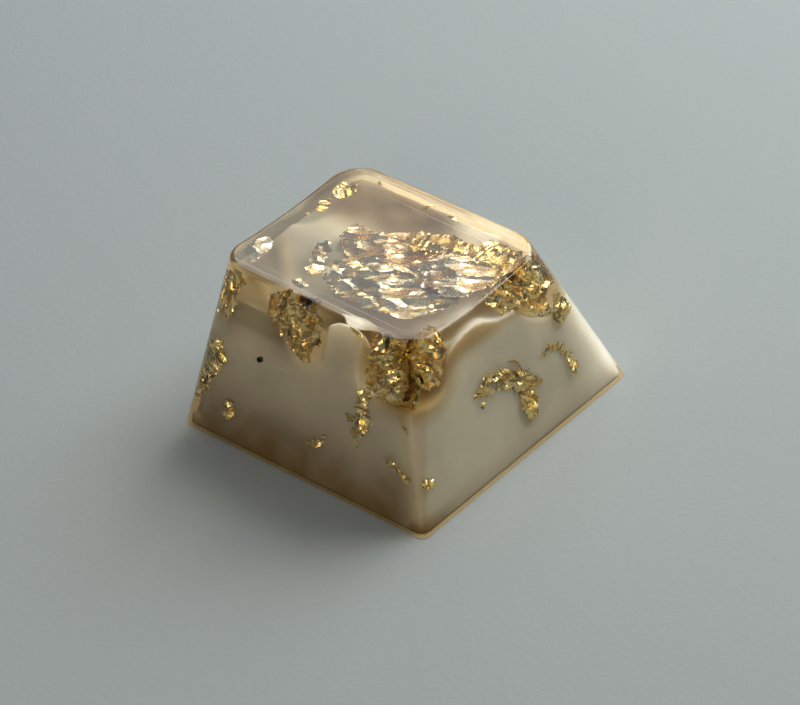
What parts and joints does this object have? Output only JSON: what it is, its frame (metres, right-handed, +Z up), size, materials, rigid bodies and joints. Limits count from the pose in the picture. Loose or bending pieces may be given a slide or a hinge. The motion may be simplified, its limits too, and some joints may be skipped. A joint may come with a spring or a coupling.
{
  "type": "artisan keycap",
  "caption": "One-unit resin keycap with a dished top, clear over white resin round crumpled gold leaf, and a hollow underside with a cross-socket stem.",
  "frame": {"origin": "middle of the base, on the plane of the rim", "axes": "+X to the keycap's right, +Y to its back (away from the typist), +Z up through the top"},
  "size_m": [0.0182, 0.0182, 0.0102],
  "materials": {
    "clear_resin": "polished",
    "white_resin_body": "gloss",
    "gold_leaf": "crumpled leaf"
  },
  "bodies": {
    "root": {"clear_resin": "clear_resin", "gold_leaf_back_corner": "gold_leaf", "gold_leaf_back_edge": "gold_leaf", "gold_leaf_bright_facet": "gold_leaf", "gold_leaf_front_arch": "gold_leaf", "gold_leaf_front_corner": "gold_leaf", "gold_leaf_front_crumple": "gold_leaf", "gold_leaf_front_large": "gold_leaf", "gold_leaf_front_small": "gold_leaf", "gold_leaf_front_thread": "gold_leaf", "gold_leaf_right_corner": "gold_leaf", "gold_leaf_right_edge": "gold_leaf", "gold_leaf_right_rim": "gold_leaf", "gold_leaf_right_sliver": "gold_leaf", "gold_leaf_side_corner": "gold_leaf", "gold_leaf_side_low": "gold_leaf", "gold_leaf_side_lower": "gold_leaf", "gold_leaf_side_rim": "gold_leaf", "gold_leaf_side_small": "gold_leaf", "gold_leaf_side_speck": "gold_leaf", "gold_leaf_side_tail": "gold_leaf", "gold_leaf_side_thread": "gold_leaf", "gold_leaf_side_upper": "gold_leaf", "gold_leaf_side_window": "gold_leaf", "gold_leaf_top_back": "gold_leaf", "gold_leaf_top_grey": "gold_leaf", "gold_leaf_top_left": "gold_leaf", "gold_leaf_top_left_edge": "gold_leaf", "gold_leaf_top_middle": "gold_leaf", "gold_leaf_top_right": "gold_leaf", "gold_leaf_top_rose": "gold_leaf", "white_resin_body": "white_resin_body"}
  },
  "joints": []
}
